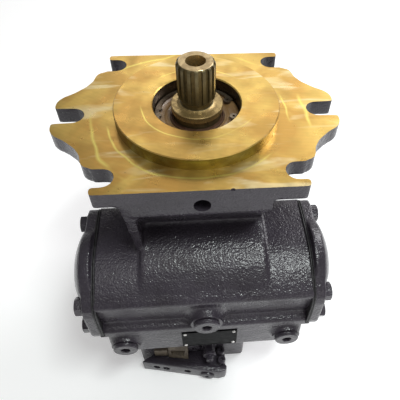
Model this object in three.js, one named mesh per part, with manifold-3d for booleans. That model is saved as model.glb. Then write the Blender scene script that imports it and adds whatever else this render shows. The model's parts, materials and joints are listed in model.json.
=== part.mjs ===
// Variable axial piston pump with a standard 152-4 / 152-2 mounting flange.
// Millimetres, +Z up. The origin is the centre of the rear cover's flat end, on the shaft axis,
// and the shaft points up. Names left and right mean -X and +X; the front is -Y.
import * as THREE from 'three';
import { mergeVertices } from 'three/addons/utils/BufferGeometryUtils.js';
import Module from 'manifold-3d';

const wasm = await Module();
wasm.setup();

// ---- driving dimensions -------------------------------------------------------------
const GAP = 0.3;                 // running gap between neighbouring pieces

const FLANGE_Z = 300;            // mounting face above the rear end
const PILOT_R = 76.2;            // 152.4 mm pilot
const PILOT_H = 12;
const FLANGE_T = 17;
const RIM_H = 31;                // depth of the flange's middle rim
const FLANGE_EDGE_Y = 99;
const BOLT_SQUARE = 80.8;        // half the 161.6 mm square of the four-bolt pattern
const BOLT_PAIR = 114.3;         // half the 228.6 mm spacing of the two-bolt pattern
const SLOT_R = 10.3;

const SHAFT_END_Z = 354;
const SPLINE_R = 17.3;
const SPLINE_TEETH = 16;
const SHAFT_R = 15;
const JOURNAL_R = 22;
const COLLAR_R = 24;
const COLLAR_Z = 311.5;          // top of the collar
const SPLINE_Z = 320;            // foot of the full spline teeth

const SEAT_R = 40;               // front bearing seat, open through the pilot
const CASE_R = 56;               // inside of the pump case
const CASE_ROOF_Z = 256;
const BODY_R = 65;

const CHAMBER_X = 104;           // half length of the stroking chamber block
const STROKER_Y = -92;           // axis of the stroking piston
const STROKER_Z = 168;
const STROKER_R = 28;
const BOSS_Y = -145;             // face and height of the middle port boss
const BOSS_Z = 154;
const SPLIT_Z = 128;             // joint of housing and port block
const BLOCK_FRONT_Y = -137;
const BLOCK_Z = 80;              // underside of the port block
const REAR_FRONT_Y = -118;       // front of the rear cover

const TILT_Z = 212;              // height of the swashplate's axis, which is along Y
const PISTONS = 9;
const PISTON_CIRCLE = 37;
const PISTON_R = 9;
const BORE_R = 10.6;
const BALL_R = 6.5;
const SLIPPER_R = 11.3;
const SWASH_FACE = 10;           // swashplate face above the ball centres
const CRADLE_R = 33;
const BARREL_R = 53;
const BARREL_TOP_Z = 195;
const BARREL_FOOT_Z = 132.3;

// ---- material looks -----------------------------------------------------------------
function look(colour, roughness, metalness) {
  return new THREE.MeshStandardMaterial({ color: colour, roughness, metalness });
}

const PAINT = look('#4b464e', 0.4, 0.1);
const MACHINED = look('#b3a26a', 0.35, 0.7);
const STEEL = look('#8d8a82', 0.35, 0.9);
const DARK_STEEL = look('#5a5445', 0.4, 0.9);
const BRONZE = look('#a07a3c', 0.4, 0.8);
const BLACK_RUBBER = look('#1b1a1a', 0.8, 0);
const BROWN_RUBBER = look('#5a3d24', 0.7, 0);
const PLATE_BLACK = look('#151515', 0.5, 0.2);

// ---- solids and meshes --------------------------------------------------------------
function solid(geometry) {
  const bare = geometry.index ? geometry.toNonIndexed() : geometry.clone();
  bare.deleteAttribute('normal');
  bare.deleteAttribute('uv');
  const merged = mergeVertices(bare, 1e-4);
  return new wasm.Manifold(new wasm.Mesh({
    numProp: 3,
    vertProperties: new Float32Array(merged.attributes.position.array),
    triVerts: new Uint32Array(merged.index.array),
  }));
}

function meshed(name, body, material) {
  const data = body.getMesh();
  const geometry = new THREE.BufferGeometry();
  geometry.setAttribute('position', new THREE.BufferAttribute(new Float32Array(data.vertProperties), 3));
  geometry.setIndex(new THREE.BufferAttribute(new Uint32Array(data.triVerts), 1));
  geometry.computeVertexNormals();
  const mesh = new THREE.Mesh(geometry, material);
  mesh.name = name;
  return mesh;
}

// A box given by its low and high corners.
function block(low, high) {
  const size = high.map((value, axis) => value - low[axis]);
  const middle = high.map((value, axis) => (value + low[axis]) / 2);
  return solid(new THREE.BoxGeometry(...size).translate(...middle));
}

// A cylinder or cone along X, Y or Z, from one end to the other.
function rod(axis, from, to, radius, endRadius = radius, sides = 40) {
  const geometry = new THREE.CylinderGeometry(endRadius, radius, to - from, sides);
  geometry.translate(0, (from + to) / 2, 0);
  if (axis === 'z') geometry.rotateX(Math.PI / 2);
  if (axis === 'x') geometry.rotateZ(-Math.PI / 2);
  return solid(geometry);
}

// A hexagonal prism of the given width across flats.
function hexagon(axis, from, to, acrossFlats) {
  return rod(axis, from, to, acrossFlats / Math.sqrt(3), acrossFlats / Math.sqrt(3), 6);
}

// A round piece about Z from [radius, height] points; the last point joins the first.
function turned(points, sides = 48) {
  const outline = points.map(([radius, height]) => new THREE.Vector2(radius, height));
  outline.push(outline[0].clone());
  const geometry = new THREE.LatheGeometry(outline, sides).rotateX(Math.PI / 2);
  let body = solid(geometry);
  if (body.volume() < 0) body = solid(flipped(geometry));
  return body;
}

function flipped(geometry) {
  const loose = geometry.toNonIndexed();
  const place = loose.attributes.position;
  for (let corner = 0; corner < place.count; corner += 3) {
    const first = new THREE.Vector3().fromBufferAttribute(place, corner);
    const third = new THREE.Vector3().fromBufferAttribute(place, corner + 2);
    place.setXYZ(corner, third.x, third.y, third.z);
    place.setXYZ(corner + 2, first.x, first.y, first.z);
  }
  return loose;
}

// An outline in the XY plane raised between two heights.
function raised(shape, low, high, curveSegments = 8) {
  const options = { depth: high - low, bevelEnabled: false, curveSegments };
  return solid(new THREE.ExtrudeGeometry(shape, options).translate(0, 0, low));
}

// A [y, z] outline drawn along X between two places.
function alongX(outline, from, to) {
  const shape = new THREE.Shape(outline.map(([y, z]) => new THREE.Vector2(y, z)));
  const options = { depth: to - from, bevelEnabled: false };
  const geometry = new THREE.ExtrudeGeometry(shape, options).translate(0, 0, from);
  const turn = new THREE.Matrix4().makeBasis(
    new THREE.Vector3(0, 1, 0), new THREE.Vector3(0, 0, 1), new THREE.Vector3(1, 0, 0));
  return solid(geometry.applyMatrix4(turn));
}

function shift(body, x, y, z) {
  return body.translate([x, y, z]);
}

// ---- housing ------------------------------------------------------------------------
// The flange outline: straight front and back edges, four corner slots and two slots on the
// horizontal centre line, all open to the sides, between arms with a hollow waist.
function flangeOutline() {
  const side = [
    { edge: [89.5, 99] },
    { slot: BOLT_SQUARE, y: BOLT_SQUARE, mouth: 90 },
    { edge: [91, 69] }, { edge: [96, 67.5] }, { edge: [99.5, 64] }, { edge: [100.5, 60] },
    { edge: [102, 53] }, { edge: [107.5, 44] }, { edge: [118, 34] }, { edge: [127, 28] },
    { edge: [131, 23] }, { edge: [132.5, 18] },
    { slot: BOLT_PAIR, y: 0, mouth: 132.5 },
    { edge: [132.5, -18] }, { edge: [131, -23] }, { edge: [127, -28] }, { edge: [118, -34] },
    { edge: [107.5, -44] }, { edge: [102, -53] }, { edge: [100.5, -60] }, { edge: [99.5, -64] },
    { edge: [96, -67.5] }, { edge: [91, -69] },
    { slot: BOLT_SQUARE, y: -BOLT_SQUARE, mouth: 90 },
    { edge: [89.5, -99] },
  ];
  const shape = new THREE.Shape();
  shape.moveTo(-side[0].edge[0], side[0].edge[1]);
  const draw = (sign, steps) => {
    for (const step of steps) {
      if (step.edge) {
        shape.lineTo(sign * step.edge[0], step.edge[1]);
        continue;
      }
      const top = sign > 0 ? 1 : -1;
      shape.lineTo(sign * step.mouth, step.y + top * SLOT_R);
      const start = sign > 0 ? Math.PI / 2 : -Math.PI / 2;
      shape.absarc(sign * step.slot, step.y, SLOT_R, start, start + Math.PI, false);
      shape.lineTo(sign * step.mouth, step.y - top * SLOT_R);
    }
  };
  draw(1, side);
  draw(-1, [...side].reverse());
  return shape;
}

// The [y, z] outline of the stroking chamber block: a flat top that slopes forward to a
// sharp crease, a face that leans back under it, and a ledge along the split line.
const CHAMBER = [
  [-28, SPLIT_Z], [-28, 200], [-32, 205], [-40, 206], [-82, 206], [-98, 204.5], [-117, 196],
  [-136, 183], [-137, 179], [-131, 141], [-139, 137], [-139, SPLIT_Z],
];

// The middle pad, which stands a few millimetres above the block's two shoulders.
const PAD = [
  [0, 150], [0, 284], [-FLANGE_EDGE_Y, 284], [-FLANGE_EDGE_Y, FLANGE_Z - RIM_H],
  [-93, FLANGE_Z - RIM_H - 3], [-74, 254], [-65, 240], [-65, 216], [-68, 213], [-86, 212],
  [-102, 207], [-120, 196], [-120, 150],
];
const PAD_X = 60;

function housing() {
  let body = raised(flangeOutline(), FLANGE_Z - FLANGE_T, FLANGE_Z);
  body = body.add(rod('z', FLANGE_Z - 1, FLANGE_Z + PILOT_H, PILOT_R, PILOT_R, 60));
  body = body.add(rod('z', SPLIT_Z, FLANGE_Z - 2, BODY_R, BODY_R, 44));
  body = body.add(rod('z', FLANGE_Z - 45, FLANGE_Z - 14, BODY_R, 84, 44));
  body = body.add(alongX(CHAMBER, -CHAMBER_X, CHAMBER_X));
  body = body.add(alongX(PAD, -PAD_X, PAD_X));
  const rimBack = block([-PAD_X, 40, FLANGE_Z - RIM_H], [PAD_X, FLANGE_EDGE_Y, FLANGE_Z - 2]);
  body = body.add(rimBack);
  body = body.add(alongX([[0, SPLIT_Z], [72, SPLIT_Z], [72, 240], [60, 262], [0, 262]], -50, 50));
  // joint flange to the port block, behind the chamber
  body = body.add(block([-86, -30, SPLIT_Z], [86, 76, SPLIT_Z + 16]));
  body = body.add(shift(rod('y', BOSS_Y, -122, 15.5, 24, 24), 0, 0, BOSS_Z));
  // inside
  body = body.subtract(rod('z', SPLIT_Z - 1, CASE_ROOF_Z, CASE_R, CASE_R, 40));
  body = body.subtract(rod('z', CASE_ROOF_Z - 1, 266, 31, 31, 28));
  body = body.subtract(rod('z', 264, FLANGE_Z + PILOT_H + 1, SEAT_R, SEAT_R, 44));
  body = body.subtract(shift(rod('x', -CHAMBER_X - 1, CHAMBER_X + 1, STROKER_R, STROKER_R, 32),
    0, STROKER_Y, STROKER_Z));
  body = body.subtract(block([-20, -80, 150], [20, -50, 206]));
  body = body.subtract(block([-20, -59, 190], [20, -40, 240]));
  // blind hole in the rim, plug hole in the boss, and the plain holes of the cover bolts
  body = body.subtract(shift(rod('y', -FLANGE_EDGE_Y - 1, -82, 7.4, 7.4, 20), 0, 0, 281));
  body = body.subtract(shift(rod('y', BOSS_Y - 1, -126, 8.6, 8.6, 12), 0, 0, BOSS_Z));
  for (const side of [-1, 1]) {
    for (const [y, z] of COVER_BOLTS) {
      const hole = rod('x', CHAMBER_X - 16, CHAMBER_X + 1, COVER_HOLE_R, COVER_HOLE_R, 8);
      body = body.subtract(shift(side < 0 ? hole.mirror([1, 0, 0]) : hole, 0, y, z));
    }
  }
  return meshed('housing', body, PAINT);
}

// ---- side covers, their gaskets and bolts -------------------------------------------
const COVER_BOLTS = [[-43, 192], [-126, 171], [-127, 135], [-43, 138]];
const COVER_X = CHAMBER_X + 1.6;         // inner face of a cover
const COVER_T = 11;
const COVER_HALF_Y = 55;                 // half the size of a cover's outline
const COVER_HALF_Z = 40;
const DOME_H = 11;                       // rise of the dome above the rim
const COVER_HOLE_R = 5.6;
const COVER_OUTLINE = [
  [-29, 140], [-29, 195], [-33, 204], [-42, 207], [-82, 207], [-98, 205.5], [-117, 197],
  [-134, 185], [-139, 178], [-141, 136], [-138, 126], [-131, 122], [-42, 122], [-32, 129],
];

function shrunk(outline, amount) {
  const middleY = STROKER_Y + 7;
  return outline.map(([y, z]) => [
    middleY + (y - middleY) * (1 - amount / COVER_HALF_Y),
    STROKER_Z + (z - STROKER_Z) * (1 - amount / COVER_HALF_Z),
  ]);
}

function sideCover(name, side) {
  let body = alongX(COVER_OUTLINE, COVER_X, COVER_X + COVER_T);
  const rim = COVER_X + COVER_T;
  const base = rod('x', COVER_X + 1, rim + 3, 40.5, 36, 28);
  const crown = rod('x', rim + 2, rim + DOME_H, 36, 22, 28);
  body = body.add(shift(base.add(crown), 0, STROKER_Y + 6, STROKER_Z));
  body = body.subtract(shift(rod('x', COVER_X - 1, COVER_X + COVER_T + 5, 27, 24, 24),
    0, STROKER_Y, STROKER_Z));
  for (const [y, z] of COVER_BOLTS) {
    const spot = rod('x', rim, rim + 30, 11.5, 11.5, 16);
    const hole = rod('x', COVER_X - 1, rim + 1, COVER_HOLE_R, COVER_HOLE_R, 8);
    body = body.subtract(shift(spot, 0, y, z)).subtract(shift(hole, 0, y, z));
  }
  return meshed(name, side < 0 ? body.mirror([1, 0, 0]) : body, PAINT);
}

function coverGasket(name, side) {
  let body = alongX(shrunk(COVER_OUTLINE, -0.8), CHAMBER_X + GAP, COVER_X - GAP);
  body = body.subtract(alongX(shrunk(COVER_OUTLINE, 7), CHAMBER_X - 1, COVER_X + 1));
  for (const [y, z] of COVER_BOLTS) {
    const pad = shift(rod('x', CHAMBER_X + GAP, COVER_X - GAP, 11, 11, 10), 0, y, z);
    body = body.add(pad.intersect(alongX(COVER_OUTLINE, CHAMBER_X, COVER_X)));
  }
  for (const [y, z] of COVER_BOLTS) {
    const hole = rod('x', CHAMBER_X - 1, COVER_X + 1, COVER_HOLE_R, COVER_HOLE_R, 8);
    body = body.subtract(shift(hole, 0, y, z));
  }
  return meshed(name, side < 0 ? body.mirror([1, 0, 0]) : body, BLACK_RUBBER);
}

function coverBolt(name, side, y, z) {
  const seat = COVER_X + COVER_T + GAP;
  let body = rod('x', CHAMBER_X - 14, seat + 1, 4.9, 4.9, 8);
  body = body.add(rod('x', seat, seat + 1.6, 9.5, 9.5, 14));
  body = body.add(hexagon('x', seat + 1, seat + 8, 16));
  const mesh = meshed(name, side < 0 ? body.mirror([1, 0, 0]) : body, PAINT);
  mesh.position.set(0, y, z);
  return mesh;
}

// ---- port block and rear cover ------------------------------------------------------
const LOW_BOSS_X = 86;
const LOW_BOSS_Y = BLOCK_FRONT_Y - 5;
const LOW_BOSS_Z = 105;
const PORT_X = 46;
const PORT_Z = 104;
const PORT_BOLT_X = 22.4;                // half the spacing of a port's tapped holes
const PORT_BOLT_Z = 16;

function portBlock() {
  const outline = new THREE.Shape();
  outline.moveTo(-100, BLOCK_FRONT_Y);
  outline.lineTo(100, BLOCK_FRONT_Y);
  outline.lineTo(104, BLOCK_FRONT_Y + 4);
  outline.lineTo(104, -34);
  outline.lineTo(88, -18);
  outline.lineTo(88, 82);
  outline.lineTo(-88, 82);
  outline.lineTo(-88, -18);
  outline.lineTo(-104, -34);
  outline.lineTo(-104, BLOCK_FRONT_Y + 4);
  let body = raised(outline, BLOCK_Z, SPLIT_Z - GAP);
  for (const side of [-1, 1]) {
    const boss = rod('y', LOW_BOSS_Y, BLOCK_FRONT_Y + 4, 14.5, 16.5, 24);
    body = body.add(shift(boss, side * LOW_BOSS_X, 0, LOW_BOSS_Z));
    const drilled = rod('y', LOW_BOSS_Y - 1, LOW_BOSS_Y + 16, 8.6, 8.6, 12);
    body = body.subtract(shift(drilled, side * LOW_BOSS_X, 0, LOW_BOSS_Z));
    // high-pressure port with its four tapped holes, on the back
    body = body.subtract(shift(rod('y', 40, 83, 14, 14, 20), side * PORT_X, 0, PORT_Z));
    for (const [across, up] of [[-1, -1], [1, -1], [-1, 1], [1, 1]]) {
      const tapped = rod('y', 62, 83, 5, 5, 6);
      const x = side * PORT_X + across * PORT_BOLT_X;
      body = body.subtract(shift(tapped, x, 0, PORT_Z + up * PORT_BOLT_Z));
    }
    // passage from the kidney slot down into the block
    body = body.subtract(block([side * 37 - 6, -12, 98], [side * 37 + 6, 60, SPLIT_Z]));
  }
  body = body.subtract(rod('z', BLOCK_Z - 1, SPLIT_Z, 20, 20, 32));
  body = body.subtract(rod('z', 98, SPLIT_Z, 28, 28, 32));
  return meshed('port_block', body, PAINT);
}

const REAR_LEFT = 81;                    // reach of its front part to the left and right
const REAR_RIGHT = 47;
const REAR_R = 66;

function rearCover() {
  const outline = new THREE.Shape();
  outline.moveTo(-REAR_LEFT, REAR_FRONT_Y);
  outline.lineTo(REAR_RIGHT - 3, REAR_FRONT_Y);
  outline.lineTo(REAR_RIGHT, REAR_FRONT_Y + 3);
  outline.absarc(0, 0, REAR_R, -Math.acos(REAR_RIGHT / REAR_R), Math.PI + 0.2, false);
  outline.lineTo(-REAR_LEFT, -30);
  let body = raised(outline, 0, BLOCK_Z - GAP, 14);
  body = body.subtract(rod('z', 40, BLOCK_Z + 1, 30, 30, 32));
  return meshed('rear_cover', body, PAINT);
}

// ---- plugs, control valve and plate -------------------------------------------------
function portPlug(name, x, faceY, z) {
  let body = rod('y', -4.5, -GAP, 12, 13, 20);
  body = body.add(rod('y', -1, 15, 8, 8, 12));
  body = body.subtract(hexagon('y', -5, 3, 9));
  const mesh = meshed(name, body, PAINT);
  mesh.position.set(x, faceY, z);
  return mesh;
}

const VALVE_H = 24;                      // slanting bar along the front
const VALVE_BASE_H = 20;                 // lower part between the bar and the rear cover
const SPOOL_Y = -126.5;
const CARTRIDGE_X = 3;
const CARTRIDGE_Z = 38;
const SPOOL_Z = 12;

function outlined(points, low, high) {
  return raised(new THREE.Shape(points.map(([x, y]) => new THREE.Vector2(x, y))), low, high);
}

function controlValveBody() {
  let body = outlined([
    [-79.6, -129], [12.6, -148], [21.3, -146.5], [23.5, -142], [22.5, -139.5], [14, -140.5],
    [-69, -122.7], [-75, -125.4],
  ], 0, VALVE_H);
  body = body.add(outlined([
    [-66, REAR_FRONT_Y - GAP], [-72, -124], [-70, -130], [12, -147], [22, -145],
    [22, REAR_FRONT_Y - GAP],
  ], 0, VALVE_BASE_H));
  body = body.subtract(shift(rod('x', -42.5, 30, 5.4, 5.4, 20), 0, SPOOL_Y, SPOOL_Z));
  for (const [x, y] of [[-62.5, -126], [-50.6, -126], [-24.7, -134]]) {
    const port = rod('y', -160, y, 4.2, 4.2, 12);
    body = body.subtract(shift(port, x, 0, SPOOL_Z));
  }
  return meshed('control_valve_body', body, PAINT);
}

function controlSpool() {
  let body = rod('x', -39, 16, 3.2, 3.2, 10);
  for (const [from, to] of [[-39, -31], [-22, -14], [-5, 3], [8, 16]]) {
    body = body.add(rod('x', from, to, 5, 5, 14));
  }
  const mesh = meshed('control_spool', body, STEEL);
  mesh.position.set(0, SPOOL_Y, SPOOL_Z);
  return mesh;
}

// A screwed-in valve that points forward over the valve body.
function valveCartridge() {
  const seat = REAR_FRONT_Y - GAP;
  let body = rod('y', seat - 3, seat, 9, 9, 20);
  body = body.add(hexagon('y', seat - 13, seat - 2, 12));
  body = body.add(rod('y', seat - 15, seat - 12, 8, 8, 20));
  body = body.add(rod('y', seat - 21, seat - 14, 4.5, 4.5, 16));
  const mesh = meshed('valve_cartridge', body, STEEL);
  mesh.position.set(CARTRIDGE_X, 0, CARTRIDGE_Z);
  return mesh;
}

function nameplate() {
  const back = BLOCK_FRONT_Y - GAP;
  const mesh = meshed('nameplate', block([-29.5, back - 1.2, 86], [29.5, back, 120]), PLATE_BLACK);
  mesh.position.x = 3;
  return mesh;
}

// ---- shaft, its bearings and seal ---------------------------------------------------
// Straight-sided spline teeth around the end of the shaft.
function splineOutline() {
  const shape = new THREE.Shape();
  const root = SPLINE_R - 1.9;
  const pitch = (2 * Math.PI) / SPLINE_TEETH;
  for (let tooth = 0; tooth < SPLINE_TEETH; tooth += 1) {
    const corners = [[root, 0], [SPLINE_R, 0.13], [SPLINE_R, 0.45], [root, 0.58]];
    for (const [radius, part] of corners) {
      const angle = (tooth + part) * pitch;
      const x = radius * Math.cos(angle);
      const y = radius * Math.sin(angle);
      if (tooth === 0 && part === 0) shape.moveTo(x, y);
      else shape.lineTo(x, y);
    }
  }
  return shape;
}

function driveShaft() {
  let body = turned([
    [0, 84], [13.5, 84], [SHAFT_R - 0.5, 86], [SHAFT_R - 0.5, 126], [SHAFT_R, 127],
    [SHAFT_R, 257], [JOURNAL_R, 262], [JOURNAL_R, 304], [COLLAR_R, 305], [COLLAR_R, COLLAR_Z - 0.8],
    [COLLAR_R - 0.8, COLLAR_Z], [14.6, COLLAR_Z], [14.6, 317], [SPLINE_R, SPLINE_Z],
    [SPLINE_R, SHAFT_END_Z - 2.6], [15, SHAFT_END_Z], [0, SHAFT_END_Z],
  ], 28);
  const envelope = rod('z', COLLAR_Z + 2, SHAFT_END_Z + 1, 26, 26, 24);
  const teeth = raised(splineOutline(), COLLAR_Z + 1, SHAFT_END_Z + 2);
  body = body.subtract(envelope.subtract(teeth));
  body = body.subtract(rod('z', SHAFT_END_Z - 22, SHAFT_END_Z + 1, 8.7, 8.7, 24));
  return meshed('drive_shaft', body, DARK_STEEL);
}

function outerRace() {
  const body = turned([[39.7, 264.3], [39.7, 285], [35.2, 285], [36.2, 264.3]], 32);
  return meshed('front_bearing_outer_race', body, STEEL);
}

const ROLLERS = 12;

function innerRace() {
  let body = turned([[JOURNAL_R + GAP, 264.5], [JOURNAL_R + GAP, 285], [27, 285], [29, 264.5]], 28);
  for (let roller = 0; roller < ROLLERS; roller += 1) {
    const angle = (roller / ROLLERS) * 2 * Math.PI;
    const barrel = rod('z', 266, 283.5, 4.1, 3.4, 8);
    body = body.add(shift(barrel, 31.2 * Math.cos(angle), 31.2 * Math.sin(angle), 0));
  }
  return meshed('front_bearing_inner_race', body, STEEL);
}

const RING_Z = 298;                      // underside of the retaining ring
const RING_T = 2;

function sealCarrier() {
  const body = turned([
    [26, 286], [39.7, 286], [39.7, RING_Z - GAP], [34, RING_Z - GAP], [31, 296], [26, 296],
  ], 32);
  return meshed('seal_carrier', body, BRONZE);
}

function shaftSeal() {
  const body = turned([[22.4, 286.4], [25.7, 286.4], [25.7, 297], [23.6, 298.5], [22.4, 296]], 28);
  return meshed('shaft_seal', body, BROWN_RUBBER);
}

function retainingRing() {
  const shape = new THREE.Shape();
  const half = 0.3;                      // half angle of the gap, and where the gap is
  const middle = 0.16;
  shape.absarc(0, 0, 39.6, middle + half, middle + 2 * Math.PI - half, false);
  shape.absarc(0, 0, 35.8, middle + 2 * Math.PI - half, middle + half, true);
  let body = raised(shape, RING_Z, RING_Z + RING_T, 20);
  for (const sign of [-1, 1]) {
    const lug = rod('z', RING_Z, RING_Z + RING_T, 3.6, 3.6, 10);
    const eye = rod('z', RING_Z - 1, RING_Z + RING_T + 1, 1.3, 1.3, 6);
    const angle = middle + sign * (half + 0.07);
    const x = 34.6 * Math.cos(angle);
    const y = 34.6 * Math.sin(angle);
    body = body.add(shift(lug, x, y, 0)).subtract(shift(eye, x, y, 0));
  }
  return meshed('retaining_ring', body, DARK_STEEL);
}

function rearBearing() {
  const body = turned([[SHAFT_R + GAP, 99], [27.7, 99], [27.7, 119], [SHAFT_R + GAP, 119]], 32);
  return meshed('rear_bearing', body, STEEL);
}

// ---- swashplate, its cradle and lever -----------------------------------------------
// These are drawn about the tilt axis and then raised to it.
function cradleBlock() {
  const roof = CASE_ROOF_Z - TILT_Z - GAP;
  const shape = new THREE.Shape();
  shape.moveTo(-44, roof);
  shape.lineTo(-44, 36.5);
  shape.lineTo(-22.9, 28.3);
  shape.lineTo(22.9, 28.3);
  shape.lineTo(44, 36.5);
  shape.lineTo(44, roof);
  const geometry = new THREE.ExtrudeGeometry(shape, { depth: 64, bevelEnabled: false });
  let body = solid(geometry.rotateX(Math.PI / 2).translate(0, 32, 0));
  body = body.subtract(rod('y', -40, 40, CRADLE_R + 2.6, CRADLE_R + 2.6, 48));
  body = body.subtract(rod('z', 0, 60, 18, 18, 32));
  const mesh = meshed('cradle_block', body, STEEL);
  mesh.position.z = TILT_Z;
  return mesh;
}

function cradleBearing(name, side) {
  const shape = new THREE.Shape();
  const half = 0.6;
  shape.absarc(0, 0, CRADLE_R + 2.3, Math.PI / 2 - half, Math.PI / 2 + half, false);
  shape.absarc(0, 0, CRADLE_R + GAP, Math.PI / 2 + half, Math.PI / 2 - half, true);
  const options = { depth: 12.5, bevelEnabled: false, curveSegments: 14 };
  const geometry = new THREE.ExtrudeGeometry(shape, options).rotateX(Math.PI / 2);
  const body = solid(geometry.translate(0, side < 0 ? -19 : 31.5, 0));
  const mesh = meshed(name, body, BRONZE);
  mesh.position.z = TILT_Z;
  return mesh;
}

function swashplate() {
  let body = rod('y', -32, 32, CRADLE_R, CRADLE_R, 48);
  body = body.subtract(block([-40, -40, -40], [40, 40, SWASH_FACE + 2]));
  body = body.add(rod('z', SWASH_FACE, SWASH_FACE + 7, 49, 49, 48));
  body = body.add(block([-8, -50.7, SWASH_FACE], [8, -40, SWASH_FACE + 7]));
  body = body.subtract(block([-25, -17.8, 0], [25, 17.8, 40]));
  return meshed('swashplate', body, STEEL);
}

// The lever hangs outside the barrel and takes the swash angle to the stroking piston.
function strokeLever() {
  const drop = STROKER_Z - TILT_Z;
  let body = block([-6, -56, -13.5], [6, -51, SWASH_FACE + 7]);
  body = body.add(block([-6, -72, -16], [6, -54, -9]));
  body = body.add(block([-3.6, -78, drop], [3.6, -66, -9]));
  body = body.add(shift(rod('y', -78, -66, 6.9, 6.9, 24), 0, 0, drop));
  return meshed('stroke_lever', body, STEEL);
}

function strokingPiston() {
  let body = rod('x', -52, 52, STROKER_R - GAP, STROKER_R - GAP, 28);
  body = body.subtract(block([-7.6, 10, -30], [7.6, 40, 12]));
  body = body.subtract(block([-15, 10, 11], [15, 40, 40]));
  for (const x of [-44, 44]) {
    const groove = rod('x', x - 1, x + 1, 40, 40, 28).subtract(rod('x', x - 2, x + 2, 26, 26, 28));
    body = body.subtract(groove);
  }
  const mesh = meshed('stroking_piston', body, STEEL);
  mesh.position.set(0, STROKER_Y, STROKER_Z);
  return mesh;
}

// ---- rotating group -----------------------------------------------------------------
function retainerPlate() {
  const shape = new THREE.Shape();
  shape.absarc(0, 0, 49.5, 0, 2 * Math.PI, false);
  const middle = new THREE.Path();
  middle.absarc(0, 0, 19.6, 0, 2 * Math.PI, true);
  shape.holes.push(middle);
  for (let hole = 0; hole < PISTONS; hole += 1) {
    const [x, y] = pistonPlace(hole);
    const path = new THREE.Path();
    path.absarc(x, y, 9.7, 0, 2 * Math.PI, true);
    shape.holes.push(path);
  }
  return meshed('retainer_plate', raised(shape, 3.5, 6.6, 7), STEEL);
}

function pistonPlace(index) {
  const angle = (index / PISTONS) * 2 * Math.PI;
  return [PISTON_CIRCLE * Math.cos(angle), PISTON_CIRCLE * Math.sin(angle)];
}

function slipper(index) {
  let body = turned([
    [0, -3], [9, -3], [9, 6.9], [SLIPPER_R, 6.9], [SLIPPER_R, 9.7], [0, 9.7],
  ], 12);
  body = body.subtract(solid(new THREE.SphereGeometry(BALL_R + GAP, 10, 5).rotateX(Math.PI / 2)));
  const mesh = meshed(`slipper_${index + 1}`, body, BRONZE);
  mesh.position.set(...pistonPlace(index), 0);
  return mesh;
}

function piston(index) {
  let body = solid(new THREE.SphereGeometry(BALL_R - 0.2, 10, 6).rotateX(Math.PI / 2));
  body = body.add(turned([
    [0, -52], [PISTON_R, -52], [PISTON_R, -13], [3.8, -8], [3.8, -1], [0, -1],
  ], 12));
  const mesh = meshed(`piston_${index + 1}`, body, STEEL);
  mesh.position.set(...pistonPlace(index), 0);
  return mesh;
}

function ballGuide() {
  let body = solid(new THREE.SphereGeometry(19, 24, 10).rotateX(Math.PI / 2));
  body = body.intersect(block([-30, -30, -12], [30, 30, 6]));
  body = body.subtract(rod('z', -30, 30, SHAFT_R + GAP, SHAFT_R + GAP, 24));
  const mesh = meshed('ball_guide', body, STEEL);
  mesh.position.z = TILT_Z;
  return mesh;
}

// A helix of round wire between two places on a line along Z.
function coil(name, radius, wire, low, high, turns, material) {
  class Helix extends THREE.Curve {
    getPoint(t, target = new THREE.Vector3()) {
      const angle = 2 * Math.PI * turns * t;
      return target.set(radius * Math.cos(angle), radius * Math.sin(angle), low + (high - low) * t);
    }
  }
  const section = new THREE.Shape();
  section.absarc(0, 0, wire, 0, 2 * Math.PI, false);
  const options = { steps: turns * 9, curveSegments: 3, bevelEnabled: false, extrudePath: new Helix() };
  const mesh = meshed(name, solid(new THREE.ExtrudeGeometry(section, options)), material);
  return mesh;
}

function cylinderBarrel() {
  let body = rod('z', BARREL_FOOT_Z, BARREL_TOP_Z, BARREL_R, BARREL_R, 48);
  body = body.subtract(rod('z', BARREL_FOOT_Z - 1, BARREL_TOP_Z + 1, SHAFT_R + 0.5, SHAFT_R + 0.5, 24));
  body = body.subtract(rod('z', 149, BARREL_TOP_Z + 1, 20.6, 20.6, 24));
  for (let bore = 0; bore < PISTONS; bore += 1) {
    const [x, y] = pistonPlace(bore);
    body = body.subtract(shift(rod('z', 143, BARREL_TOP_Z + 1, BORE_R, BORE_R, 16), x, y, 0));
    body = body.subtract(shift(rod('z', BARREL_FOOT_Z - 1, 144, 5, 5, 8), x, y, 0));
  }
  return meshed('cylinder_barrel', body, STEEL);
}

function valvePlate() {
  const shape = new THREE.Shape();
  shape.absarc(0, 0, 50, 0, 2 * Math.PI, false);
  const middle = new THREE.Path();
  middle.absarc(0, 0, 17, 0, 2 * Math.PI, true);
  shape.holes.push(middle);
  for (const start of [-1.15, Math.PI - 1.15]) {
    const kidney = new THREE.Path();
    kidney.absarc(0, 0, PISTON_CIRCLE + 5, start, start + 2.3, false);
    kidney.absarc(0, 0, PISTON_CIRCLE - 5, start + 2.3, start, true);
    shape.holes.push(kidney);
  }
  return meshed('valve_plate', raised(shape, SPLIT_Z + 0.1, BARREL_FOOT_Z - GAP, 10), BRONZE);
}

// ---- the pump -----------------------------------------------------------------------
const pump = new THREE.Group();
pump.add(housing(), portBlock(), rearCover());
pump.add(driveShaft(), outerRace(), innerRace(), sealCarrier(), shaftSeal(), retainingRing());
pump.add(rearBearing(), cradleBlock());
pump.add(cradleBearing('cradle_bearing_front', -1), cradleBearing('cradle_bearing_back', 1));
pump.add(ballGuide(), cylinderBarrel(), valvePlate(), strokingPiston());
pump.add(coil('barrel_spring', 18, 1.6, 152, 197, 5, STEEL));

const tilting = new THREE.Group();
tilting.position.z = TILT_Z;
tilting.add(swashplate(), strokeLever(), retainerPlate());
for (let index = 0; index < PISTONS; index += 1) {
  tilting.add(slipper(index), piston(index));
}
pump.add(tilting);

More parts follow.
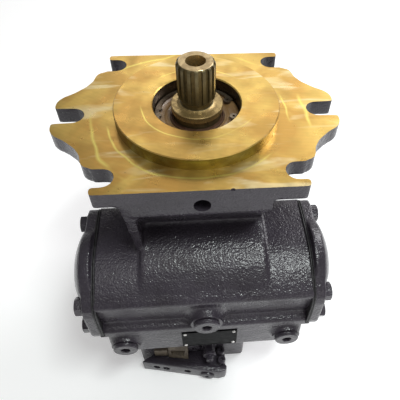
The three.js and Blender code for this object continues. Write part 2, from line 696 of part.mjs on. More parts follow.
const centringSpring = coil('centring_spring', 16, 2.4, 66, CHAMBER_X - 1, 4, STEEL);
centringSpring.rotation.y = Math.PI / 2;
centringSpring.position.set(0, STROKER_Y, STROKER_Z);
pump.add(centringSpring);

for (const [word, side] of [['left', -1], ['right', 1]]) {
  pump.add(sideCover(`side_cover_${word}`, side), coverGasket(`cover_gasket_${word}`, side));
  COVER_BOLTS.forEach(([y, z], index) => {
    pump.add(coverBolt(`cover_bolt_${word}_${index + 1}`, side, y, z));
  });
  pump.add(portPlug(`port_plug_${word}`, side * LOW_BOSS_X, LOW_BOSS_Y, LOW_BOSS_Z));
}
pump.add(portPlug('port_plug_middle', 0, BOSS_Y, BOSS_Z));
pump.add(controlValveBody(), controlSpool(), valveCartridge(), nameplate());

export default pump;
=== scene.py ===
"""Axial piston pump: a cast iron pump standing on its rear cover, shaft up."""
import json
import math

import bmesh
import bpy
from mathutils import Matrix, Vector


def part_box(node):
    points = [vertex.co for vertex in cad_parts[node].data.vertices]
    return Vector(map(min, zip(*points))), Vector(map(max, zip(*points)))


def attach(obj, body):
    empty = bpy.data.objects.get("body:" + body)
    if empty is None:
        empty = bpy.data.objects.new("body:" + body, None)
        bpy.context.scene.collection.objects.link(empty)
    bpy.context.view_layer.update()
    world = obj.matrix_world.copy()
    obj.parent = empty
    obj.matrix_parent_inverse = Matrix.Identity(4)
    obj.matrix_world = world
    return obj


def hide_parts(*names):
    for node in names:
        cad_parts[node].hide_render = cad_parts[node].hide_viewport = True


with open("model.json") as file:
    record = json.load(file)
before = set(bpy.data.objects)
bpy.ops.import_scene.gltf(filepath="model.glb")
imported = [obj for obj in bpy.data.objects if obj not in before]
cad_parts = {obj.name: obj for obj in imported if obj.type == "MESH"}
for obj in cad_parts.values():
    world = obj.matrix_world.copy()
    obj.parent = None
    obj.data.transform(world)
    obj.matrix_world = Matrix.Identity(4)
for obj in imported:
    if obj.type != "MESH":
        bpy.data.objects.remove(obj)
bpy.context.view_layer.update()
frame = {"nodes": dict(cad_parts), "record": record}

MM = 0.001


def box_of(name):
    """Low and high corners, in millimetres, of a piece of the design."""
    return [Vector(corner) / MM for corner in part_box(name)]


case_low, case_high = box_of("housing")

# ---- Camera, floor and lights ---------------------------------------------------------
# The camera stands close, in front of the pump and a little to its left, and looks down on
# the mounting face. The pump stands on a white floor, between soft panels of light above,
# in front, behind and at the right.
PILOT_TOP = case_high.z
FACE = PILOT_TOP - 12
LOOKED_AT = Vector((18.97, -112.1, FACE))
AZIMUTH, ELEVATION, ROLL = (math.radians(angle) for angle in (-6.48, 49.89, 2.32))
DISTANCE = 339.05

back = Vector((math.sin(AZIMUTH) * math.cos(ELEVATION), -math.cos(AZIMUTH) * math.cos(ELEVATION),
               math.sin(ELEVATION)))
level = Vector((math.cos(AZIMUTH), math.sin(AZIMUTH), 0))
upward = back.cross(level)
right = math.cos(ROLL) * level + math.sin(ROLL) * upward
up = back.cross(right)
camera_data = bpy.data.cameras.new("camera")
camera_data.lens = 39.21
camera_data.sensor_width = 36
camera_data.shift_x = -0.0678
camera_data.shift_y = 0.0052
camera_data.clip_start = 0.02
camera = bpy.data.objects.new("camera", camera_data)
camera.matrix_world = Matrix.Translation((LOOKED_AT + back * DISTANCE) * MM) @ Matrix(
    (right, up, back)).transposed().to_4x4()
bpy.context.collection.objects.link(camera)
bpy.context.scene.camera = camera


def lamp(name, place, aim, width, depth, power, colour):
    """A flat soft light at a place, facing a point."""
    data = bpy.data.lights.new(name, "AREA")
    data.shape = "RECTANGLE"
    data.size = width
    data.size_y = depth
    data.energy = power
    data.color = colour
    holder = bpy.data.objects.new(name, data)
    holder.location = place
    holder.rotation_euler = (Vector(aim) - Vector(place)).to_track_quat("-Z", "Y").to_euler()
    bpy.context.collection.objects.link(holder)


lamp("ceiling", (0.0, -0.5, 1.65), (0, -0.1, 0.2), 1.3, 0.9, 4, (1, 0.98, 0.97))
lamp("ceiling_tube", (0.40, -0.42, 1.6), (0, -0.12, 0.15), 0.5, 0.2, 10, (0.93, 1, 0.98))
lamp("front_fill", (0.5, -1.7, 0.75), (0, -0.1, 0.2), 0.9, 0.5, 2.5, (1, 0.97, 1))
lamp("back_panel", (1.05, 2.1, 1.6), (1.05, 2.1, 0), 3.2, 1.7, 22, (1, 0.97, 0.92))
lamp("right_panel", (1.25, 0.75, 1.35), (0.1, -0.05, 0.2), 0.9, 0.9, 20, (0.97, 0.97, 1))

world = bpy.data.worlds.new("studio")
world.use_nodes = True
world.node_tree.nodes["Background"].inputs["Color"].default_value = (1, 1, 1, 1)
world.node_tree.nodes["Background"].inputs["Strength"].default_value = 0.24
bpy.context.scene.world = world
bpy.context.scene.view_settings.view_transform = "Standard"


def node(tree, kind, settings=None, **sockets):
    """A node with its settings, and its sockets set or linked by name."""
    made = tree.nodes.new(kind)
    for key, value in (settings or {}).items():
        setattr(made, key, value)
    for key, value in sockets.items():
        socket = made.inputs[key.replace("_", " ")]
        if isinstance(value, bpy.types.NodeSocket):
            tree.links.new(value, socket)
        else:
            socket.default_value = value
    return made


def finish_named(name):
    """An empty material, its tree, its shader and its Object coordinates."""
    material = bpy.data.materials.new(name)
    material.use_nodes = True
    tree = material.node_tree
    shader = tree.nodes["Principled BSDF"]
    place = node(tree, "ShaderNodeTexCoord").outputs["Object"]
    return material, tree, shader, place


def mottle(tree, place, size, detail=2.0, lean=0.0):
    """Soft noise whose lumps are about size millimetres across."""
    made = node(tree, "ShaderNodeTexNoise", Vector=place, Scale=1 / (size * MM), Detail=detail,
                Distortion=lean)
    return made.outputs["Fac"]


def between(tree, value, low, high, start=0.0, end=1.0):
    """value carried from low..high to start..end, and held there."""
    made = node(tree, "ShaderNodeMapRange", {"clamp": True}, Value=value)
    for socket, number in zip(("From Min", "From Max", "To Min", "To Max"), (low, high, start, end)):
        made.inputs[socket].default_value = number
    return made.outputs["Result"]


def tinted(tree, amount, first, second):
    """One colour turning into another as amount goes from 0 to 1."""
    made = node(tree, "ShaderNodeMix", {"data_type": "RGBA"})
    for socket, value in ((made.inputs[0], amount), (made.inputs[6], first), (made.inputs[7], second)):
        if isinstance(value, bpy.types.NodeSocket):
            tree.links.new(value, socket)
        else:
            socket.default_value = (*value, 1) if isinstance(value, tuple) else value
    return made.outputs[2]


def sums(tree, operation, first, second):
    """Two values added, multiplied or compared."""
    made = node(tree, "ShaderNodeMath", {"operation": operation})
    for socket, value in zip(made.inputs, (first, second)):
        if isinstance(value, bpy.types.NodeSocket):
            tree.links.new(value, socket)
        else:
            socket.default_value = value
    return made.outputs["Value"]


def relief(tree, shader, height, depth):
    """Bump of the given depth in millimetres."""
    made = node(tree, "ShaderNodeBump", Height=height, Distance=depth * MM, Strength=1.0)
    tree.links.new(made.outputs["Normal"], shader.inputs["Normal"])
    tree.links.new(made.outputs["Normal"], shader.inputs["Coat Normal"])


floor_mesh = bpy.data.meshes.new("floor")
FLOOR_HALF = 4.0
floor_mesh.from_pydata([(x * FLOOR_HALF, y * FLOOR_HALF, -0.0002)
                        for x, y in ((-1, -1), (1, -1), (1, 1), (-1, 1))], [], [(0, 1, 2, 3)])
floor = bpy.data.objects.new("floor", floor_mesh)
bpy.context.collection.objects.link(floor)
white, floor_tree, floor_shader, floor_place = finish_named("white_floor")
paper = tinted(floor_tree, mottle(floor_tree, floor_place, 60), (0.93, 0.93, 0.93), (0.96, 0.96, 0.96))
floor_tree.links.new(paper, floor_shader.inputs["Base Color"])
floor_shader.inputs["Roughness"].default_value = 0.9
floor_shader.inputs["Specular IOR Level"].default_value = 0.1
floor_shader.inputs["Emission Color"].default_value = (1, 1, 1, 1)
floor_shader.inputs["Emission Strength"].default_value = 0.22
floor_mesh.materials.append(white)


# ---- Pump housing ---------------------------------------------------------------------
# One iron casting: the flange with its slots, the neck, the round case and the crosswise
# stroking chamber. It is sprayed dark purplish grey all over, then the mounting face, the
# pilot and the bearing seat are turned bare and wiped with yellow preserving oil.
def paint(name):
    """Glossy spray paint over sand-cast iron."""
    material, tree, shader, place = finish_named(name)
    patches = between(tree, mottle(tree, place, 55, 3), 0.35, 0.65)
    thin = between(tree, mottle(tree, place, 9, 4, 0.6), 0.45, 0.75)
    coat = tinted(tree, patches, (0.028, 0.023, 0.030), (0.045, 0.038, 0.050))
    coat = tinted(tree, sums(tree, "MULTIPLY", thin, 0.45), coat, (0.024, 0.020, 0.025))
    # Sparse pale grey flecks in the paint colour: specks of dust, and painted glints standing in for
    # sparkle on the glossy peel.
    speck = node(tree, "ShaderNodeTexVoronoi", Vector=place, Scale=1 / (4.2 * MM)).outputs["Distance"]
    pale_amount = sums(tree, "LESS_THAN", speck, 0.085)
    dust_and_glint_mask = between(tree, mottle(tree, place, 16, 1), 0.56, 0.6)
    coat = tinted(tree, sums(tree, "MULTIPLY", pale_amount, dust_and_glint_mask), coat, (0.16, 0.15, 0.15))
    tree.links.new(coat, shader.inputs["Base Color"])
    sheen = between(tree, mottle(tree, place, 21, 4), 0.3, 0.7, 0.24, 0.40)
    tree.links.new(sheen, shader.inputs["Roughness"])
    shader.inputs["Specular IOR Level"].default_value = 0.3
    shader.inputs["Coat Weight"].default_value = 0.32
    shader.inputs["Coat Roughness"].default_value = 0.07
    sand = mottle(tree, place, 3.4, 3, 0.3)
    peel = mottle(tree, place, 1.7, 1)
    swell = mottle(tree, place, 12, 2)
    height = sums(tree, "ADD", sums(tree, "MULTIPLY", sand, 0.9), sums(tree, "MULTIPLY", peel, 0.8))
    height = sums(tree, "ADD", height, sums(tree, "MULTIPLY", swell, 0.8))
    relief(tree, shader, height, 0.45)
    return material


def film_line(tree, place, radius, width, wander, seen_above):
    """A broken line, running round the pump's axis, where the oil film ends."""
    flat = node(tree, "ShaderNodeMapping", Vector=place, Scale=(1, 1, 0)).outputs["Vector"]
    reach = node(tree, "ShaderNodeVectorMath", {"operation": "LENGTH"}, Vector=flat)
    sway = sums(tree, "MULTIPLY", mottle(tree, place, 70, 2), wander * MM)
    off = sums(tree, "SUBTRACT", sums(tree, "ADD", reach.outputs["Value"], sway), radius * MM)
    line = between(tree, sums(tree, "ABSOLUTE", off, 0.0), 0.0, width * MM, 1.0, 0.0)
    return sums(tree, "MULTIPLY", line,
                between(tree, mottle(tree, place, 80, 1), seen_above, seen_above + 0.06))


# each edge of the oil film: radius, width and wander in millimetres, and how broken it is
FILM_EDGES = ((97, 1.5, 22, 0.46), (118, 2.2, 30, 0.5), (60, 1.0, 16, 0.44))


def oiled_iron(name, ring_size, centre, clear, thick, pale, rough=0.3):
    """Turned or milled bare iron under yellow preserving oil."""
    material, tree, shader, place = finish_named(name)
    moved = node(tree, "ShaderNodeMapping", Vector=place, Location=tuple(-c * MM for c in centre))
    rings = node(tree, "ShaderNodeTexWave", {"wave_type": "RINGS", "rings_direction": "Z"},
                 Vector=moved.outputs["Vector"], Scale=0.31 / (ring_size * MM), Distortion=0.25,
                 Detail=1.0).outputs["Fac"]
    pools = between(tree, mottle(tree, place, 52, 3, 0.6), 0.42, 0.58)
    smear = between(tree, mottle(tree, place, 26, 3, 0.5), 0.42, 0.68)
    film = tinted(tree, pools, clear, thick)
    film = tinted(tree, sums(tree, "MULTIPLY", smear, 0.45), film, tuple(0.55 * part for part in clear))
    wiped = node(tree, "ShaderNodeMapping", Vector=place, Rotation=(0, 0, 0.5), Scale=(0.35, 1.6, 1))
    streak = between(tree, mottle(tree, wiped.outputs["Vector"], 26, 3, 0.9), 0.56, 0.70)
    film = tinted(tree, sums(tree, "MULTIPLY", streak, 0.7), film, pale)
    film = tinted(tree, sums(tree, "MULTIPLY", rings, 0.07), film, tuple(0.5 * part for part in clear))
    for radius, width, wander, seen_above in FILM_EDGES:
        edge = film_line(tree, place, radius, width, wander, seen_above)
        film = tinted(tree, sums(tree, "MULTIPLY", edge, 0.8), film, (0.97, 0.84, 0.22))
    speck = node(tree, "ShaderNodeTexVoronoi", Vector=place, Scale=1 / (11 * MM)).outputs["Distance"]
    pits = sums(tree, "LESS_THAN", speck, 0.035)
    film = tinted(tree, sums(tree, "MULTIPLY", pits, 0.8), film, (0.12, 0.08, 0.03))
    tree.links.new(film, shader.inputs["Base Color"])
    shader.inputs["Metallic"].default_value = 0.94
    sheen = between(tree, mottle(tree, place, 15, 2), 0.3, 0.7, rough - 0.05, rough + 0.1)
    tree.links.new(sheen, shader.inputs["Roughness"])
    shader.inputs["Coat Weight"].default_value = 0.08
    shader.inputs["Coat Roughness"].default_value = 0.12
    height = sums(tree, "ADD", sums(tree, "MULTIPLY", rings, 0.2), sums(tree, "MULTIPLY", smear, 0.3))
    relief(tree, shader, height, 0.05)
    return material


def oiled_steel(name, colour, dark, sheen=0.34, along=0.0):
    """Dark oiled steel with fine marks, drawn out along Z when along is below one."""
    material, tree, shader, place = finish_named(name)
    streaked = node(tree, "ShaderNodeMapping", Vector=place, Scale=(1, 1, along)).outputs["Vector"]
    marks = mottle(tree, streaked, 0.8, 3)
    stain = between(tree, mottle(tree, place, 7, 4, 0.8), 0.35, 0.7)
    tint = tinted(tree, stain, colour, dark)
    tint = tinted(tree, sums(tree, "MULTIPLY", marks, 0.3), tint, dark)
    tree.links.new(tint, shader.inputs["Base Color"])
    shader.inputs["Metallic"].default_value = 0.72
    tree.links.new(between(tree, stain, 0, 1, sheen - 0.08, sheen + 0.12), shader.inputs["Roughness"])
    shader.inputs["Coat Weight"].default_value = 0.12
    shader.inputs["Coat Roughness"].default_value = 0.2
    relief(tree, shader, marks, 0.05)
    return material


PAINT = paint("grey_paint")
FACE_IRON = oiled_iron("milled_face_iron", 4.2, (150, 420, FACE), (0.82, 0.56, 0.155),
                       (0.66, 0.385, 0.10), (0.93, 0.79, 0.45))
TURNED_IRON = oiled_iron("turned_pilot_iron", 2.4, (0, 0, 0), (0.27, 0.24, 0.075),
                         (0.21, 0.17, 0.055), (0.42, 0.39, 0.12), 0.2)
SEAT_IRON = oiled_steel("bored_seat_iron", (0.085, 0.055, 0.028), (0.022, 0.015, 0.009), 0.3, 1.0)


LOOKS = 4


def shown(name, mesh):
    """An object for a mesh, with empty slots for the looks its faces may have."""
    for _ in range(LOOKS):
        mesh.materials.append(None)
    made = bpy.data.objects.new(name, mesh)
    bpy.context.collection.objects.link(made)
    return made


def stock(name, points, faces, look=0):
    """A closed solid from points in millimetres, every face with one look."""
    mesh = bpy.data.meshes.new(name)
    mesh.from_pydata([tuple(value * MM for value in point) for point in points], [], faces)
    work = bmesh.new()
    work.from_mesh(mesh)
    bmesh.ops.remove_doubles(work, verts=work.verts, dist=1e-6)
    bmesh.ops.recalc_face_normals(work, faces=work.faces)
    for face in work.faces:
        face.material_index = look
    work.to_mesh(mesh)
    work.free()
    return shown(name, mesh)


def bar(name, outline, low, high, axis="z", look=0):
    """An outline carried along an axis: (x, y) along z, (y, z) along x, (x, z) along y."""
    count = len(outline)
    place = {"z": lambda a, b, h: (a, b, h), "x": lambda a, b, h: (h, a, b),
             "y": lambda a, b, h: (a, h, b)}[axis]
    points = [place(a, b, h) for h in (low, high) for a, b in outline]
    walls = [(i, (i + 1) % count, count + (i + 1) % count, count + i) for i in range(count)]
    return stock(name, points, [tuple(range(count)), tuple(range(count, 2 * count)), *walls], look)


def slab(name, low, high, look=0):
    """A rectangular block by its low and high corners."""
    outline = [(low[0], low[1]), (high[0], low[1]), (high[0], high[1]), (low[0], high[1])]
    return bar(name, outline, low[2], high[2], "z", look)


def turning(name, profile, axis="z", centre=(0, 0, 0), sides=64, look=0):
    """A closed (radius, height) profile turned about an axis through centre."""
    points = []
    for step in range(sides):
        angle = 2 * math.pi * step / sides
        for radius, height in profile:
            a, b = radius * math.cos(angle), radius * math.sin(angle)
            point = {"z": (a, b, height), "x": (height, a, b), "y": (b, height, a)}[axis]
            points.append(tuple(p + c for p, c in zip(point, centre)))
    count = len(profile)
    faces = []
    for step in range(sides):
        for k in range(count):
            here, there = step * count, (step + 1) % sides * count
            faces.append((here + k, here + (k + 1) % count, there + (k + 1) % count, there + k))
    return stock(name, points, faces, look)


def peg(name, radius, low, high, axis="z", centre=(0, 0, 0), sides=40, look=0):
    """A plain round bar."""
    return turning(name, [(0, low), (radius, low), (radius, high), (0, high)], axis, centre,
                   sides, look)


def settle(piece):
    """Makes a piece's modifiers into its mesh."""
    bpy.context.view_layer.update()
    shaped = piece.evaluated_get(bpy.context.evaluated_depsgraph_get())
    mesh = bpy.data.meshes.new_from_object(shaped)
    piece.modifiers.clear()
    piece.data = mesh
    return piece


def gathered(name, pieces):
    """Several solids in one mesh."""
    work = bmesh.new()
    for piece in pieces:
        work.from_mesh(piece.data)
        bpy.data.objects.remove(piece)
    mesh = bpy.data.meshes.new(name)
    work.to_mesh(mesh)
    work.free()
    return shown(name, mesh)


def cast(name, pieces, grain, rounding):
    """Solids melted into one casting with soft edges and fillets."""
    piece = gathered(name, pieces)
    melt = piece.modifiers.new("melt", "REMESH")
    melt.mode = "VOXEL"
    melt.voxel_size = grain * MM
    rub = piece.modifiers.new("rub", "SMOOTH")
    rub.factor = 0.5
    rub.iterations = rounding
    return settle(piece)


def machined(piece, tools, operation="DIFFERENCE"):
    """Cuts or joins a piece with tools that don't overlap each other."""
    tool = gathered("tool", tools) if len(tools) > 1 else tools[0]
    cut = piece.modifiers.new("cut", "BOOLEAN")
    cut.operation = operation
    cut.solver = "EXACT"
    cut.object = tool
    settle(piece)
    bpy.data.objects.remove(tool)
    return piece


def dressed(piece, *materials, crease=38):
    """Gives a piece its materials and smooth shading that breaks at sharp edges."""
    looks = [face.material_index for face in piece.data.polygons]
    piece.data.materials.clear()
    for material in materials:
        piece.data.materials.append(material)
    piece.data.polygons.foreach_set("material_index", [min(look, len(materials) - 1) for look in looks])
    piece.data.polygons.foreach_set("use_smooth", [True] * len(piece.data.polygons))
    piece.data.set_sharp_from_angle(angle=math.radians(crease))
    return piece


def arc(centre, radius, start, end, steps):
    """Points of a round stretch, angles in degrees."""
    angles = [math.radians(start + (end - start) * step / steps) for step in range(steps + 1)]
    return [(centre[0] + radius * math.cos(a), centre[1] + radius * math.sin(a)) for a in angles]


FLANGE_X = case_high.x
EDGE_Y = case_high.y
SLOT = 10.3
FOUR_BOLT = 80.8
TWO_BOLT = 114.3
CORNER_X = 89.5
# upper right quarter of the flange, from the middle slot round to the corner
quarter = [
    *arc((TWO_BOLT, 0), SLOT, 180, 90, 6), (FLANGE_X, SLOT + 0.6), (FLANGE_X, 18), (131, 23),
    (127, 28), (118, 34), (107.5, 44), (102, 53), (100.5, 60), (99.5, 64), (96, 67.5), (91, 69),
    (90, FOUR_BOLT - SLOT), *arc((FOUR_BOLT, FOUR_BOLT), SLOT, 270, 90, 12),
    (CORNER_X, FOUR_BOLT + SLOT), (CORNER_X, EDGE_Y - 1.5), (CORNER_X - 1.5, EDGE_Y),
]
upper = quarter + [(-x, y) for x, y in reversed(quarter)]
flange_outline = upper + [(x, -y) for x, y in [(-x, y) for x, y in upper]]

SPLIT = case_low.z
CHAMBER_X = 104
chamber = [
    (-30, SPLIT - 4), (-28, 198), (-33, 205), (-42, 206), (-70, 206.3), (-80, 206.2), (-90, 205.2),
    (-99, 203.2), (-108, 200.2), (-117, 196.2), (-126, 191.2), (-136, 184.6), (-138.3, 181.5),
    (-137, 177), (-131, 142), (-140, 137.5), (-140, SPLIT - 4),
]
PAD_X = 60
pad = [
    (0, 150), (0, 286), (-EDGE_Y, 286), (-EDGE_Y, FACE - 31), (-96, FACE - 34), (-79, 242),
    (-66, 222), (-65, 218), (-66.5, 216.6), (-72, 215.4), (-80, 213.8), (-88, 211.8), (-96, 209.2),
    (-104, 206), (-112, 201.8), (-120, 196.4), (-126, 191.8), (-126, 150),
]
TOP = FACE + 5
PLUG_HEAD = 4.5
boss_low, boss_high = box_of("port_plug_middle")
BOSS_Y = boss_low.y + PLUG_HEAD
BOSS_Z = (boss_low.z + boss_high.z) / 2
BOX_FACES = [(0, 1, 2, 3), (4, 5, 6, 7), (0, 1, 5, 4), (1, 2, 6, 5), (2, 3, 7, 6), (3, 0, 4, 7)]
housing = cast("housing_casting", [
    bar("flange", flange_outline, FACE - 17.5, TOP),
    turning("case", [(0, SPLIT - 4), (65, SPLIT - 4), (65, 255), (84, 286), (84, TOP), (0, TOP)]),
    bar("chamber", chamber, -CHAMBER_X - 4, CHAMBER_X + 4, "x"),
    bar("pad", pad, -PAD_X, PAD_X, "x"),
    slab("rim_back", (-PAD_X, 40, FACE - 31), (PAD_X, EDGE_Y, TOP - 1)),
    bar("case_back", [(0, SPLIT - 4), (72, SPLIT - 4), (72, 240), (60, 262), (0, 262)], -50, 50, "x"),
    slab("joint", (-86, -31, SPLIT - 4), (86, 76, SPLIT + 16)),
    turning("boss", [(0, BOSS_Y - 3), (15.5, BOSS_Y - 3), (16.5, -139), (20, -134), (27, -129),
                     (27, -115), (0, -115)], "y", (0, 0, BOSS_Z), 48),
    stock("gusset", [
        (-64, -60, 206), (-57, -60, 206), (-57, -90, 206), (-64, -90, 206),
        (-69, -60, 285), (-57, -60, 285), (-57, -99, 285), (-69, -99, 285)],
        BOX_FACES),
], grain=2.0, rounding=3)
BARE, TURNED, SEAT = 1, 2, 3
GROOVE = box_of("retaining_ring")[0].z
SIDE, AHEAD, BEHIND = 150, -160, 120      # how far the milling cutters reach past the castings
machined(housing, [
    slab("mill_face", (-SIDE, -BEHIND, FACE), (SIDE, BEHIND, FACE + 20), BARE),
    slab("mill_split", (-SIDE, AHEAD, SPLIT - 20), (SIDE, BEHIND, SPLIT)),
    slab("mill_left", (-140, -160, SPLIT + 1), (-CHAMBER_X, 0, 240)),
    slab("mill_right", (CHAMBER_X, -160, SPLIT + 1), (140, 0, 240)),
    slab("mill_boss", (-30, -155, 135), (30, BOSS_Y, 175)),
])
machined(housing, [
    turning("bore_case", [(0, SPLIT - 10), (56, SPLIT - 10), (56, 256), (31, 256), (31, 264),
                          (40, 264), (40, GROOVE - 0.2), (41.4, GROOVE - 0.2), (41.4, GROOVE + 2.2),
                          (40, GROOVE + 2.2), (40, 304), (40.7, 305), (40.7, FACE + 10),
                          (0, FACE + 10)], look=SEAT, sides=96),
    peg("drill_rim", 7.4, -EDGE_Y - 6, -82, "y", (0, 0, 281)),
    peg("drill_boss", 8.8, BOSS_Y - 2, BOSS_Y + 18, "y", (0, 0, BOSS_Z)),
    peg("nick", 2.4, FACE - 2, FACE + 4, "z", (25, -EDGE_Y - 1.2, 0), 9),
])
stroker_low, stroker_high = box_of("stroking_piston")
stroker = (stroker_low + stroker_high) / 2
machined(housing, [peg("bore_stroker", 28, -CHAMBER_X - 5, CHAMBER_X + 5, "x",
                       (0, stroker.y, stroker.z), 64)])
lever_room = [(-80, 150), (-50, 150), (-50, 190), (-40, 190), (-40, 240), (-59, 240), (-59, 206),
              (-80, 206)]
machined(housing, [bar("lever_room", lever_room, -20, 20, "x")])
PILOT_R = 76.2
pilot = [(40.7, FACE - 1), (PILOT_R, FACE - 1), (PILOT_R, PILOT_TOP - 0.8),
         (PILOT_R - 0.8, PILOT_TOP), (41.6, PILOT_TOP), (40.7, PILOT_TOP - 1)]
machined(housing, [turning("pilot", pilot, look=TURNED, sides=160)], "UNION")
for face in housing.data.polygons:
    if face.center.z > (FACE - 0.01) * MM and face.normal.z > 0.6:
        face.material_index = BARE
    elif face.center.z > (FACE - 45) * MM and face.center.xy.length < 41.5 * MM:
        face.material_index = SEAT
dressed(housing, PAINT, FACE_IRON, TURNED_IRON, SEAT_IRON)
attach(housing, "pump_case")
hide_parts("housing")

# ---- Port block and rear cover --------------------------------------------------------
# Two more iron castings under the housing: the block with the pressure ports and the low
# side bosses, and the cover that the pump stands on. Both are painted with the housing.
block_low, block_high = box_of("port_block")
rear_low, rear_high = box_of("rear_cover")
plug_low, plug_high = box_of("port_plug_right")
LOW_X = (plug_low.x + plug_high.x) / 2
LOW_Z = (plug_low.z + plug_high.z) / 2
LOW_Y = plug_low.y + PLUG_HEAD
FRONT = -137
block_outline = [
    (-101, FRONT), (101, FRONT), (104, FRONT + 4), (104, -34), (88, -18), (88, 84), (-88, 84),
    (-88, -18), (-104, -34), (-104, FRONT + 4),
]
block_parts = [bar("block", block_outline, block_low.z, block_high.z + 4)]
for side in (-1, 1):
    block_parts.append(turning("low_boss", [(0, LOW_Y - 3), (14.5, LOW_Y - 3), (15, FRONT - 1.5),
                                            (18, FRONT + 2), (0, FRONT + 2)],
                               "y", (side * LOW_X, 0, LOW_Z), 40))
port_block = cast("port_block_casting", block_parts, grain=2.0, rounding=5)
PORT_X, PORT_Z = 46, 104
first_cuts = [
    slab("mill_top", (-SIDE, AHEAD, block_high.z), (SIDE, BEHIND, block_high.z + 20)),
    slab("mill_ports", (-120, block_high.y, 60), (120, block_high.y + 10, block_high.z - 1)),
    slab("mill_plate", (-32, FRONT - 8, 84), (37, FRONT + 0.2, 122)),
]
second_cuts = [turning("bore_rear", [(0, 70), (20, 70), (20, 98), (28, 98), (28, 140), (0, 140)])]
for side in (-1, 1):
    first_cuts.append(slab("mill_boss", (side * LOW_X - 20, LOW_Y - 10, LOW_Z - 20),
                           (side * LOW_X + 20, LOW_Y, LOW_Z + 20)))
    second_cuts.append(peg("drill_boss", 8.8, LOW_Y - 2, LOW_Y + 16, "y", (side * LOW_X, 0, LOW_Z)))
    second_cuts.append(turning("bore_port", [(0, 45), (14, 45), (14, 79), (17.5, 80.5), (17.5, 95),
                                             (0, 95)], "y", (side * PORT_X, 0, PORT_Z), 48, BARE))
    for across in (-22.4, 22.4):
        for height in (-16, 16):
            second_cuts.append(peg("tap", 5, 60, 95, "y",
                                   (side * PORT_X + across, 0, PORT_Z + height), 24, BARE))
machined(port_block, first_cuts)
machined(port_block, second_cuts)
BORED_STEEL = oiled_iron("bored_port_iron", 0.8, (0, 0, 0), (0.50, 0.43, 0.30), (0.42, 0.33, 0.18),
                         (0.62, 0.56, 0.44))
dressed(port_block, PAINT, BORED_STEEL)
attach(port_block, "pump_case")
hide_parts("port_block")

REAR_R = 66
rear_outline = [(rear_low.x, rear_low.y), (44, rear_low.y), (47, rear_low.y + 3),
                *arc((0, 0), REAR_R, -44.5, 191.5, 44), (rear_low.x, -30)]
rear_cover = cast("rear_cover_casting", [bar("rear", rear_outline, -3, rear_high.z + 3)],
                  grain=2.0, rounding=4)
machined(rear_cover, [
    slab("mill_foot", (-SIDE, AHEAD, -20), (SIDE, BEHIND, 0)),
    slab("mill_joint", (-SIDE, AHEAD, rear_high.z), (SIDE, BEHIND, rear_high.z + 20)),
])
machined(rear_cover, [peg("bore_charge", 30, 40, 120)])
dressed(rear_cover, PAINT)
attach(rear_cover, "pump_case")
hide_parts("rear_cover")

# ---- Side covers and their gaskets ----------------------------------------------------
# A cast lid closes each end of the stroking chamber: a flat rim scalloped round four bolts
# and a rounded dome over the piston's end. Black sealant squeezed out of the joint shows as
# a double bead round the rim.
cover_low, cover_high = box_of("side_cover_right")
RIM_T = 11
cover_outline = [
    (-29, 140), (-29, 194), (-33, 203.5), (-42, 207), (-82, 207), (-98, 205.5), (-117, 197),
    (-133, 186), (-138, 180), (-140, 172), (-141, 136), (-138.5, 127), (-131, 122), (-42, 122),
    (-33, 126.5),
]
bolt_places = [sum((Vector(corner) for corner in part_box(f"cover_bolt_right_{number}")),
                   Vector()) / 2 / MM for number in (1, 2, 3, 4)]


def mirrored(piece):
    """The same piece on the other side of the pump."""
    copy = piece.copy()
    copy.data = piece.data.copy()
    copy.data.transform(Matrix.Diagonal((-1, 1, 1, 1)))
    copy.data.flip_normals()
    bpy.context.collection.objects.link(copy)
    return copy


dome_centre = (0, stroker.y + 6, stroker.z)
dome_profile = [(0, cover_low.x + 1), (46, cover_low.x + 1), (44, cover_low.x + RIM_T),
                (41, cover_low.x + RIM_T + 2.6), (35, cover_high.x - 5.4), (28, cover_high.x - 2.6),
                (20, cover_high.x - 0.8), (11, cover_high.x), (0, cover_high.x)]
lid = gathered("side_cover", [bar("rim", cover_outline, cover_low.x - 3, cover_low.x + RIM_T, "x")])
machined(lid, [turning("dome", dome_profile, "x", dome_centre, 72)], "UNION")
machined(lid, [peg("scallop", 12, cover_low.x + RIM_T + 0.2, cover_high.x + 20, "x",
                   (0, place.y, place.z), 32) for place in bolt_places])
lid = cast("side_cover_right_casting", [lid], grain=1.5, rounding=5)
machined(lid, [slab("mill_joint", (cover_low.x - 20, -160, 100), (cover_low.x, 0, 230))])
machined(lid, [turning("hollow", [(0, cover_low.x - 1), (27, cover_low.x - 1), (24, cover_high.x - 6),
                                  (0, cover_high.x - 6)], "x", (0, stroker.y, stroker.z), 48)])
dressed(lid, PAINT)
other_lid = mirrored(lid)
other_lid.name = "side_cover_left_casting"
for piece, word in ((lid, "right"), (other_lid, "left")):
    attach(piece, "pump_case")
    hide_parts(f"side_cover_{word}")


def rubber(name, colour, rough):
    """Dull rubber or cured sealant with a faintly dusty skin."""
    material, tree, shader, place = finish_named(name)
    pale_amount = between(tree, mottle(tree, place, 5, 4), 0.45, 0.75, 0, 0.35)
    skin = tinted(tree, pale_amount, colour, tuple(min(1, 0.06 + 1.8 * part) for part in colour))
    tree.links.new(skin, shader.inputs["Base Color"])
    tree.links.new(between(tree, mottle(tree, place, 3, 2), 0.3, 0.7, rough - 0.12, rough + 0.1),
                   shader.inputs["Roughness"])
    relief(tree, shader, mottle(tree, place, 1.1, 3), 0.2)
    return material


SEALANT = rubber("black_sealant", (0.012, 0.011, 0.012), 0.55)


